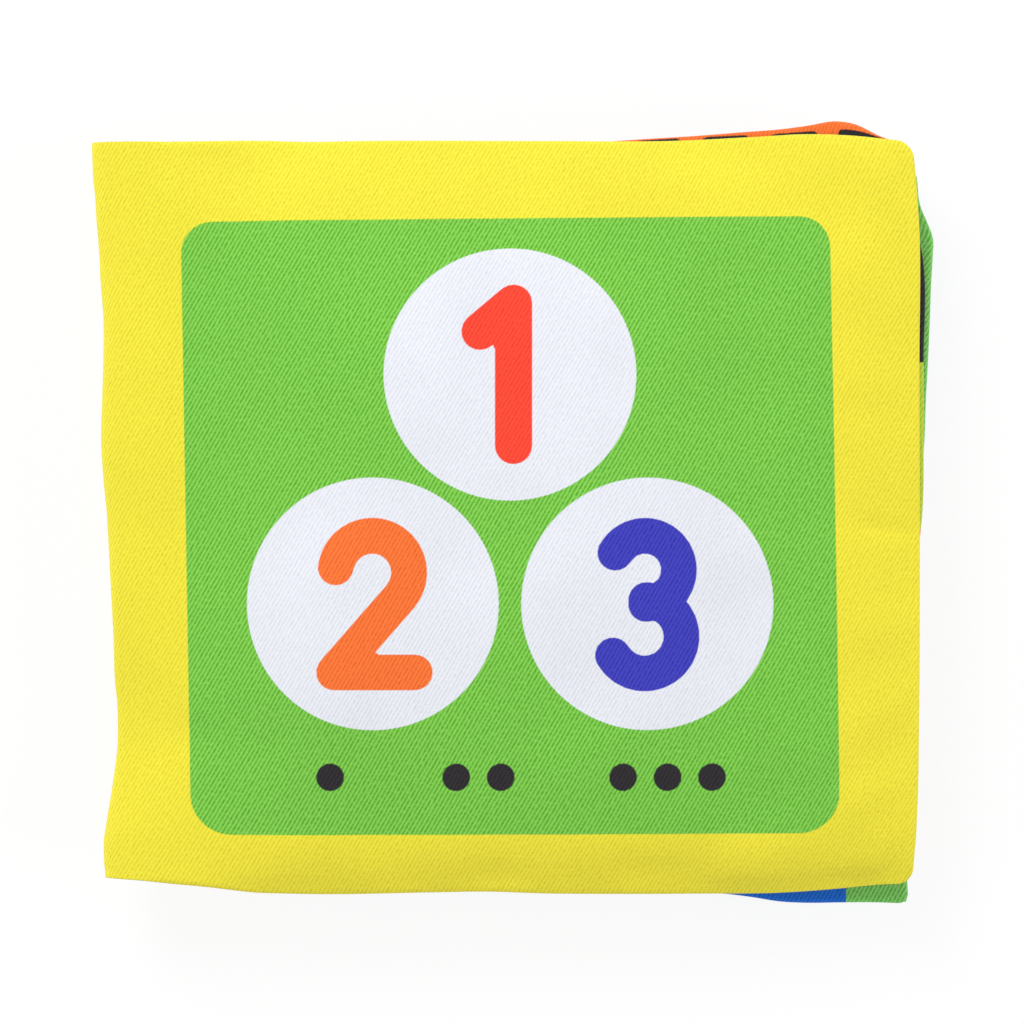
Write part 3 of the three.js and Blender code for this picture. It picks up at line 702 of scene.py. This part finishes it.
coverPanel = {
    "centre": (50.75, -1.6), "half": (43.93, 41.6), "corner": 4.8, "lean": 0.017, "tilt": 0.006,
    "flare": 0.0025, "droop": 0.7, "discRadius": 17,
    "discsFromCentre": [(0, 20.5), (-18.5, -10.4), (18.5, -10.4)],
    "numeralHalfHeights": [9.6, 9.2, 9.2], "numeralHalfWidths": [2.5, 2.4, 2.4],
}
dashes = {                          # the row of dashes at the head of the first page
    "first": 12.8, "step": 9.7, "halfLength": 3.45, "y": 49.5, "halfWidth": 1.3, "corner": 0.78, "count": 10,
    "bulgeShare": 0.4, "bulgeFrom": 0.6,
}


def dashRow(x, y):                  # printed straighter than the page's edge bulges at the corner
    along = (x - book["clearRadius"]) / (book["reach"] - book["clearRadius"])
    bulge = np.maximum(0, curveThrough(leaves["firstLeafPad"]["head"], along) - dashes["bulgeFrom"])
    row = [roundedPanel(dashes["first"] + k * dashes["step"], dashes["y"], dashes["halfLength"],
                        dashes["halfWidth"], dashes["corner"]) for k in range(dashes["count"])]
    return joined(*row)(x, y + dashes["bulgeShare"] * bulge)


printEdges = {title: roundedPanel(*panel) for title, panel in panels.items()}
printEdges |= {title: joined(*[ballRow(*row) for row in rows]) for title, rows in ballRows.items()}
printEdges["dashes"] = joined(dashRow, printEdges["foreDash"])
printEdges["panel"] = roundedPanel(*coverPanel["centre"], *coverPanel["half"], *[
    coverPanel[which] for which in ("corner", "lean", "tilt", "flare", "droop")])
discCentres = [np.add(coverPanel["centre"], place) for place in coverPanel["discsFromCentre"]]
printEdges["discs"] = joined(*[discAt(*centre, coverPanel["discRadius"]) for centre in discCentres])
for k, title in enumerate(("one", "two", "three")):
    printEdges[title] = numeral(k + 1, discCentres[k], coverPanel["numeralHalfHeights"][k],
                                coverPanel["numeralHalfWidths"][k])


# Materials

def linear(hexCode):                # an sRGB hex value as the linear colour that the shader takes
    parts = [int(hexCode[k:k + 2], 16) / 255 for k in (0, 2, 4)]
    return [c / 12.92 if c <= 0.04045 else ((c + 0.055) / 1.055) ** 2.4 for c in parts] + [1]


def newMaterial(name):
    material = bpy.data.materials.new(name)
    material.use_nodes = True
    material.node_tree.nodes.clear()
    return material, material.node_tree


twill = {                           # printed polyester twill, woven; the ribs lean to the right
    "ribSpacing": 0.5,              # real, and just wide enough to show
    "ribTurn": 30,                  # from the ribs' normal to the page's width
    "ribHeight": 0.07, "bump": 0.6, "slubLength": 1.82, "slubWander": 1.3,
    "yarnWidth": 0.435, "yarnContrast": 2.4, "yarnOffset": -0.2,        # how the ribs break up, yarn by yarn
    "grooveShadeGamma": 1.5, "grooveShadeScale": 0.72,       # painted shade: how much the ink is darkened in the grooves between the ribs
    "patchWidth": 16.7, "patchRange": (0.3, 0.7), "patchFade": (1.03, 1.09), "printBlur": 0.07,
    "roughness": 0.82, "sheen": 0.12, "sheenRoughness": 0.5, "specular": 0.2,
}
inks = {                            # the colour, and how much painted shade darkens it in the grooves
    "yellow": ("F8EC42", 0.44), "green": ("8BD757", 0.85), "white": ("EEF0F8", 0.3), "red": ("FF4C36", 0.35),
    "orange": ("FF7C38", 0.4), "blue": ("4444C4", 0.5), "black": ("2E2A2F", 0.5), "lime": ("CCE04A", 0.5),
    "brightBlue": ("2076E2", 0.5), "sky": ("94D0F4", 0.4), "leafGreen": ("90E078", 0.85),
    "pageRed": ("F45038", 0.4),
}
prints = {                          # each printed cloth's ground, and what is printed over it in which ink
    "coverPrintedTwill": ("yellow", {"panel": "green", "discs": "white", "one": "red", "two": "orange",
                                     "three": "blue", "countingDots": "black"}),
    "insideFrontTwill": ("lime", {"frontSheet": "white", "oneBall": "red"}),
    "firstPageTwill": ("orange", {"firstSheet": "white", "dashes": "black", "limeBand": "lime",
                                  "twoBalls": "brightBlue"}),
    "secondPageTwill": ("pageRed", {"pageSheet": "white", "threeBalls": "orange"}),
    "thirdPageTwill": ("leafGreen", {"bluePatch": "brightBlue", "pageSheet": "white", "fourBalls": "red"}),
    "fourthPageTwill": ("brightBlue", {"pageSheet": "white", "fiveBalls": "green"}),
    "insideBackTwill": ("sky", {"pageSheet": "white", "sixBalls": "blue"}),
    "backPrintedTwill": ("yellow", {"backPanel": "green"}),
}


def ribGrooves(tree, flat):         # 1 in the groove between two ribs, 0 on a rib, broken up by the yarns
    turn, pitch = math.radians(twill["ribTurn"]), math.tau / twill["ribSpacing"]
    ribNormal = (math.cos(turn) * pitch, -math.sin(turn) * pitch, 0)
    across = addNode(tree, "ShaderNodeVectorMath", {0: flat, 1: ribNormal}, read="Value",
                     operation="DOT_PRODUCT")
    slub = addNode(tree, "ShaderNodeTexNoise", {
        "Vector": flat, "Scale": 1 / twill["slubLength"], "Detail": 2})
    phase = addNode(tree, "ShaderNodeMath", {0: slub, 1: twill["slubWander"], 2: across},
                    operation="MULTIPLY_ADD")
    wave = addNode(tree, "ShaderNodeMath", {0: phase}, operation="SINE")
    groove = addNode(tree, "ShaderNodeMapRange", {
        "Value": wave, "From Min": -1, "From Max": 1, "To Min": 1, "To Max": 0})
    yarn = addNode(tree, "ShaderNodeTexNoise", {"Vector": flat, "Scale": 1 / twill["yarnWidth"], "Detail": 1})
    broken = addNode(tree, "ShaderNodeMath", {0: yarn, 1: twill["yarnContrast"], 2: twill["yarnOffset"]},
                     operation="MULTIPLY_ADD")
    return addNode(tree, "ShaderNodeMath", {0: groove, 1: broken}, operation="MULTIPLY")


def printedInk(tree, ground, layers):       # its colour, and how much painted shade darkens it in the grooves
    colour, depth = linear(inks[ground][0]), inks[ground][1]
    for title, ink in layers.items():
        hexCode, inkGrooveShade = inks[ink]
        edge = addNode(tree, "ShaderNodeAttribute", read="Fac", attribute_name=title)
        mask = addNode(tree, "ShaderNodeMapRange", {
            "Value": edge, "From Min": twill["printBlur"], "From Max": -twill["printBlur"]})
        colour = addNode(tree, "ShaderNodeMix", {0: mask, 6: colour, 7: linear(hexCode)}, read=2,
                         data_type="RGBA")
        # how much painted shade this ink takes in the grooves
        depth = addNode(tree, "ShaderNodeMix", {0: mask, 2: depth, 3: inkGrooveShade})
    return colour, depth


# Disperse-printed woven twill: matt, with diagonal ribs whose grooves are darkened with painted shade
def printedTwill(name, ground, layers):
    material, tree = newMaterial(name)
    flat = addNode(tree, "ShaderNodeAttribute", read="Vector", attribute_name="flat")
    groove = ribGrooves(tree, flat)
    colour, depth = printedInk(tree, ground, layers)
    patch = addNode(tree, "ShaderNodeTexNoise", {
        "Vector": flat, "Scale": 1 / twill["patchWidth"], "Detail": 2})
    fade = addNode(tree, "ShaderNodeMapRange", {
        "Value": patch, "From Min": twill["patchRange"][0], "From Max": twill["patchRange"][1],
        "To Min": twill["patchFade"][0], "To Max": twill["patchFade"][1]})
    # painted shade: the ink darkened and deepened in colour for the grooves between the ribs
    grooveShadeColour = addNode(tree, "ShaderNodeGamma", {"Color": colour, "Gamma": twill["grooveShadeGamma"]})
    grooveShadeColour = addNode(tree, "ShaderNodeVectorMath", {0: grooveShadeColour, "Scale": twill["grooveShadeScale"]},
                     operation="SCALE")
    bare = colour if layers else colour[:3]         # a vector socket takes three numbers
    lit = addNode(tree, "ShaderNodeVectorMath", {0: bare, "Scale": fade}, operation="SCALE")
    # the ribs keep their colour, and the grooves take the painted shade
    grooveShadeShare = addNode(tree, "ShaderNodeMath", {0: groove, 1: depth}, operation="MULTIPLY")
    shaded = addNode(tree, "ShaderNodeMix", {0: grooveShadeShare, 6: lit, 7: grooveShadeColour}, read=2, data_type="RGBA")
    height = addNode(tree, "ShaderNodeMath", {0: groove, 1: -1}, operation="MULTIPLY")
    bump = addNode(tree, "ShaderNodeBump", {
        "Height": height, "Strength": twill["bump"], "Distance": twill["ribHeight"] / 1000})
    shader = addNode(tree, "ShaderNodeBsdfPrincipled", {
        "Base Color": shaded, "Roughness": twill["roughness"], "Sheen Weight": twill["sheen"],
        "Sheen Roughness": twill["sheenRoughness"], "Specular IOR Level": twill["specular"], "Normal": bump})
    addNode(tree, "ShaderNodeOutputMaterial", {0: shader})
    return material


# The three hidden finishes: one pattern in the object's own metres gives both the two tones and the relief,
# the darker tone in its hollows as painted shade
def patternedFinish(name, kind, read, pattern, darker, lighter, strength, depth, surface, **settings):
    material, tree = newMaterial(name)
    place = addNode(tree, "ShaderNodeTexCoord", read="Object")
    drawn = addNode(tree, kind, {"Vector": place, **pattern}, read, **settings)
    # painted shade: the darker tone falls where the pattern, and so the relief, is low
    colour = addNode(tree, "ShaderNodeMix", {0: drawn, 6: linear(darker), 7: linear(lighter)}, read=2,
                     data_type="RGBA")
    bump = addNode(tree, "ShaderNodeBump", {"Height": drawn, "Strength": strength, "Distance": depth / 1000})
    shader = addNode(tree, "ShaderNodeBsdfPrincipled", {"Base Color": colour, "Normal": bump, **surface})
    addNode(tree, "ShaderNodeOutputMaterial", {0: shader})
    return material


fineness = {"ply": 0.7, "fleeceTuft": 1.43, "filmFacet": 7.14}      # sizes of the three patterns, in mm


# Spun polyester thread, plied: a slight sheen along its twist
def spunThread():
    scale = math.tau / 10 / (fineness["ply"] / 1000)        # Blender's waves repeat every tau / 10
    return patternedFinish(
        "spunPolyesterThread", "ShaderNodeTexWave", "Fac", {"Scale": scale, "Distortion": 1.5},
        darker="D9C832", lighter="F8EB58", strength=0.5, depth=0.03,
        surface={"Roughness": 0.6, "Sheen Weight": 0.2}, bands_direction="DIAGONAL")


# Needled polyester wadding: matt white fleece
def needledWadding():
    return patternedFinish(
        "needledWadding", "ShaderNodeTexNoise", "Fac",
        {"Scale": 1000 / fineness["fleeceTuft"], "Detail": 6, "Distortion": 1.2},
        darker="DEDDD6", lighter="FBFAF6", strength=0.7, depth=0.2,
        surface={"Roughness": 0.95, "Sheen Weight": 0.3})


# Crumpled polyester film: glossy, with hard creases in every direction
def crumpledFilm():
    return patternedFinish(
        "crumpledPolyesterFilm", "ShaderNodeTexVoronoi", "Distance", {"Scale": 1000 / fineness["filmFacet"]},
        darker="C9D2DA", lighter="EEF3F6", strength=0.8, depth=0.6,
        surface={"Roughness": 0.22, "IOR": 1.6}, feature="DISTANCE_TO_EDGE")


twills = {name: printedTwill(name, ground, layers) for name, (ground, layers) in prints.items()}
plain = {which: printedTwill(which + "PlainTwill", which, {})
         for which in ("yellow", "lime", "orange", "pageRed", "leafGreen", "brightBlue", "sky")}
thread, wadding, film = spunThread(), needledWadding(), crumpledFilm()
print("materials")

seamTree = threadTree()
for name, leaf in leaves.items():
    makeLeaf(name, leaf)


# Cloth of the spine

def sheetBetween(name, outer, inner, along, lines, materials):
    rows, columns = outer.shape[:2]
    points = np.concatenate([outer.reshape(-1, 3), inner.reshape(-1, 3)])
    upper = np.arange(rows * columns).reshape(rows, columns)
    lower = upper + rows * columns
    faces = gridFaces(upper) + gridFaces(lower.T)
    half = (np.arange(rows - 1) >= (rows - 1) // 2).astype(int)     # the cloth's two halves differ in colour
    side = [*np.repeat(half, columns - 1), *np.tile(half, columns - 1), *half, *half]
    side += [0] * (columns - 1) + [1] * (columns - 1)
    for wall in ((upper[:, 0], lower[:, 0]), (lower[:, -1], upper[:, -1]),
                 (lower[0], upper[0]), (upper[-1], lower[-1])):
        faces += gridFaces(np.stack(wall))
    flat = np.stack(np.broadcast_arrays(along, lines[None, :], 0 * along), axis=-1).reshape(-1, 3)
    if signedVolume(points, faces) < 0:
        faces = [face[::-1] for face in faces]
    return meshFrom(name, points, faces, materials, side, {"flat": np.concatenate([flat, flat])})


def signedVolume(points, faces):
    a, b, c, d = points[np.array(faces).T]
    return (a * (np.cross(b, c) + np.cross(c, d))).sum() / 6


def offsetPath(path, thickness):    # path[step, line] = (x, z); the same cloth's face on its left hand
    ahead = np.gradient(path, axis=0)
    ahead /= np.maximum(np.linalg.norm(ahead, axis=-1, keepdims=True), 1e-9)
    leftward = np.stack([-ahead[..., 1], ahead[..., 0]], axis=-1)
    return path + leftward * np.broadcast_to(thickness, path.shape[1])[None, :, None]


def lengthAlong(path):
    steps = np.linalg.norm(np.diff(path, axis=0), axis=-1)
    return np.concatenate([np.zeros((1, path.shape[1])), np.cumsum(steps, axis=0)])


def clothAlong(name, path, thickness, lines, materials, gathered=1.0):
    inner = offsetPath(path, thickness)
    x, v = path[..., 0], lines[None, :]
    y = v * (1 - lining["drawnIn"] / book["halfHeight"]) + tailRise(x, v)       # the sewing draws it up
    outerPoints = np.stack([x, y, path[..., 1]], axis=-1)
    innerPoints = np.stack([inner[..., 0], y, inner[..., 1]], axis=-1)
    return sheetBetween(name, outerPoints, innerPoints, -lengthAlong(path) * gathered, lines, materials)


def orbit(turns, radius):
    turns = np.radians(turns)
    return np.stack([np.cos(turns) * radius, np.sin(turns) * radius], axis=-1)


lining = {                          # the inner cover cloth and the pages' cloth round the fold
    "coverRadius": 2.5, "pageRadius": 1.88, "coverLegs": 3.5, "pageLegs": 3.85, "thickness": 0.24,
    "pageStack": 1.6, "pageFill": 0.2, "legSteps": 7, "bendSteps": 28, "inset": 0.3, "drawnIn": 0.4,
    "height": 101, "grid": {"step": 1.6, "fineStep": 0.6, "fineWidth": 1.8},
}
liningEnd = book["halfHeight"] - lining["inset"]
foldLines = gridLines(-liningEnd, liningEnd, lining["grid"])


def foldedPath(radius, legs):
    share = spineShare(foldLines)
    leg = np.linspace(legs, 0, lining["legSteps"] + 1)[:-1, None] * share
    turns = np.linspace(90, 270, lining["bendSteps"] + 1)
    upper, lower = [np.stack(np.broadcast_arrays(xs, side * radius * share), axis=-1)
                    for xs, side in ((leg, 1), (leg[::-1], -1))]
    return np.concatenate([upper, orbit(turns[:, None], radius * share[None, :]), lower])


liningPath = foldedPath(lining["coverRadius"], lining["coverLegs"])
coverLining = clothAlong("coverLining", liningPath, lining["thickness"], foldLines,
                         [plain["lime"], plain["sky"]])
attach(coverLining, "back_cover")
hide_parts("cover_spine_inner_cloth")

pageFold = clothAlong("pageFold", foldedPath(lining["pageRadius"], lining["pageLegs"]),
                      lining["pageStack"] * spineShare(foldLines), foldLines,
                      [plain["orange"], plain["leafGreen"]])
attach(pageFold, "back_cover")
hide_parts("page_spine_outer_cloth", "page_spine_inner_cloth")
print("spine cloths")

# Cloth that spreads between two leaves when they open
gutters = {
    "frontGutter": {"bodies": ("first_leaf", "front_cover"), "levels": (2, 3), "from": 24, "to": 28.8,
                    "opens": 90, "cloths": ("orange", "lime"), "slot": "white_page_twill"},
    "middleGutter": {"bodies": ("second_leaf", "first_leaf"), "levels": (1, 2), "from": -2.1, "to": 2.1,
                     "opens": 45, "cloths": ("leafGreen", "pageRed"), "slot": "green_page_twill"},
    "backGutter": {"bodies": ("back_cover", "second_leaf"), "levels": (0, 1), "from": -28.8, "to": -24,
                   "opens": 45, "cloths": ("sky", "brightBlue"), "slot": "blue_page_twill"},
}
gutterCloth = {
    "radius": 4.53, "thickness": 0.14, "halfLength": 50.4, "acrossSteps": 32,
    "entryRadius": 4.62, "entryTurn": 0.5, "entryRise": 0.1,        # where it dips in between the leaves
    "tucked": (5, 9.6), "tuckSteps": 8, "settled": (4.8, 8),
    "grid": {"step": 1.4, "fineStep": 0.5, "fineWidth": 1.5},
}
gutterLines = gridLines(-gutterCloth["halfLength"], gutterCloth["halfLength"], gutterCloth["grid"])


def tuckedIn(level, turn, way):     # from inside a leaf out to the fold's clearance
    middle = (level - book["middleLevel"]) * book["spinePitch"]
    entry = orbit(turn + way * gutterCloth["entryTurn"], gutterCloth["entryRadius"])
    near, far = gutterCloth["tucked"]
    xs = np.linspace(far, near, gutterCloth["tuckSteps"])
    zs = mix(entry[1] + way * gutterCloth["entryRise"], middle, smooth(xs, *gutterCloth["settled"]))
    return [*zip(xs, zs), tuple(entry)]


for name, gutter in gutters.items():
    low, high = gutter["from"], gutter["to"]
    below, above = tuckedIn(gutter["levels"][0], low, -1), tuckedIn(gutter["levels"][1], high, 1)
    across = orbit(np.linspace(low, high, gutterCloth["acrossSteps"] + 1), gutterCloth["radius"])
    path = np.repeat(np.array([*below, *across, *above[::-1]])[:, None, :], len(gutterLines), axis=1)
    cloths = [plain[which] for which in gutter["cloths"]]
    piece = clothAlong(name, path, gutterCloth["thickness"], gutterLines, cloths,
                       gathered=1 + gutter["opens"] / (high - low))
    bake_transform(piece)
print("gutters")


# Threads, filling and film keep their solids, and get what they are made of
finishes = {"thread": thread, "wadding": wadding, "film": film}
for name, node in frame["nodes"].items():
    node.data.materials.clear()
    node.data.materials.append(finishes.get(name.split("_")[-1], plain["yellow"]))
print("filling and threads")


# Floor, light and camera

studio = {
    "scale": 0.1357,                # mm of the cover that one pixel of the picture shows
    "imageCentre": (-1.31, 0.13), "coverHeight": 12.7, "distance": 600, "pixels": 1024, "sensor": 36,
    "floorHalf": 1.5, "floorShadow": 0.85, "shadowReach": (0.12, 0.7), "floorGlow": 1.03,
    "roomLight": 0.42,              # the camera sees the room white, and it lights the book at this strength
    "softboxes": {                  # place and size in metres, and power in watts
        "headSoftbox": ((-0.4, 0.78, 0.72), 0.55, 7.4), "foreSoftbox": ((1.7, -0.25, 0.9), 1.1, 14.5),
        "spineSoftbox": ((-1.8, -0.2, 0.6), 1.1, 7),
    },
}


def seenWhite(tree):                # 1 for what the camera sees, also in gloss and through glass
    rays = addNode(tree, "ShaderNodeLightPath").node.outputs
    seen = addNode(tree, "ShaderNodeMath", {0: rays["Is Camera Ray"], 1: rays["Is Glossy Ray"]},
                   operation="MAXIMUM")
    return addNode(tree, "ShaderNodeMath", {0: seen, 1: rays["Is Transmission Ray"]}, operation="MAXIMUM")


# Matt white paper sweep: the camera sees it white, with the object's shadow kept faint
def whiteSweep():
    material, tree = newMaterial("whitePaperSweep")
    paper = addNode(tree, "ShaderNodeBsdfDiffuse", {"Color": linear("F6F6F6")})
    glow = addNode(tree, "ShaderNodeEmission", {"Color": (1, 1, 1, 1), "Strength": studio["floorGlow"]})
    place = addNode(tree, "ShaderNodeTexCoord", read="Object")
    away = addNode(tree, "ShaderNodeVectorMath", {0: place}, read="Value", operation="LENGTH")
    near, far = studio["shadowReach"]
    white = addNode(tree, "ShaderNodeMapRange", {
        "Value": away, "From Min": near, "From Max": far, "To Min": studio["floorShadow"], "To Max": 1})
    share = addNode(tree, "ShaderNodeMath", {0: seenWhite(tree), 1: white}, operation="MULTIPLY")
    both = addNode(tree, "ShaderNodeMixShader", {0: share, 1: paper, 2: glow})
    addNode(tree, "ShaderNodeOutputMaterial", {0: both})
    return material


half = studio["floorHalf"]
floorMesh = bpy.data.meshes.new("floor")
corners = [(-half, -half, 0), (half, -half, 0), (half, half, 0), (-half, half, 0)]
floorMesh.from_pydata(corners, [], [(0, 1, 2, 3)])
floorMesh.materials.append(whiteSweep())
newObject("floor", floorMesh)

world = bpy.data.worlds.new("softRoom")
scene.world = world
world.use_nodes = True
room = world.node_tree
room.nodes.clear()
strength = addNode(room, "ShaderNodeMapRange", {
    "Value": seenWhite(room), "To Min": studio["roomLight"], "To Max": 1})
background = addNode(room, "ShaderNodeBackground", {"Color": (1, 1, 1, 1), "Strength": strength})
addNode(room, "ShaderNodeOutputWorld", {0: background})

for name, (place, size, power) in studio["softboxes"].items():      # each looks at the middle of the floor
    lamp = bpy.data.lights.new(name, "AREA")
    lamp.shape, lamp.size, lamp.energy = "SQUARE", size, power
    holder = newObject(name, lamp)
    holder.location = place
    lean, turn = math.acos(place[2] / math.hypot(*place)), math.atan2(place[1], place[0])
    holder.rotation_euler = (lean, 0, turn + math.pi / 2)

camera = bpy.data.cameras.new("camera")
camera.sensor_width = studio["sensor"]
camera.lens = studio["sensor"] * studio["distance"] / (studio["pixels"] * studio["scale"])
camera.clip_start, camera.clip_end = 0.01, 10
holder = newObject("camera", camera)
holder.location = np.array([*studio["imageCentre"], studio["coverHeight"] + studio["distance"]]) / 1000
scene.camera = holder
scene.view_settings.view_transform = "Standard"
print("floor, light and camera")
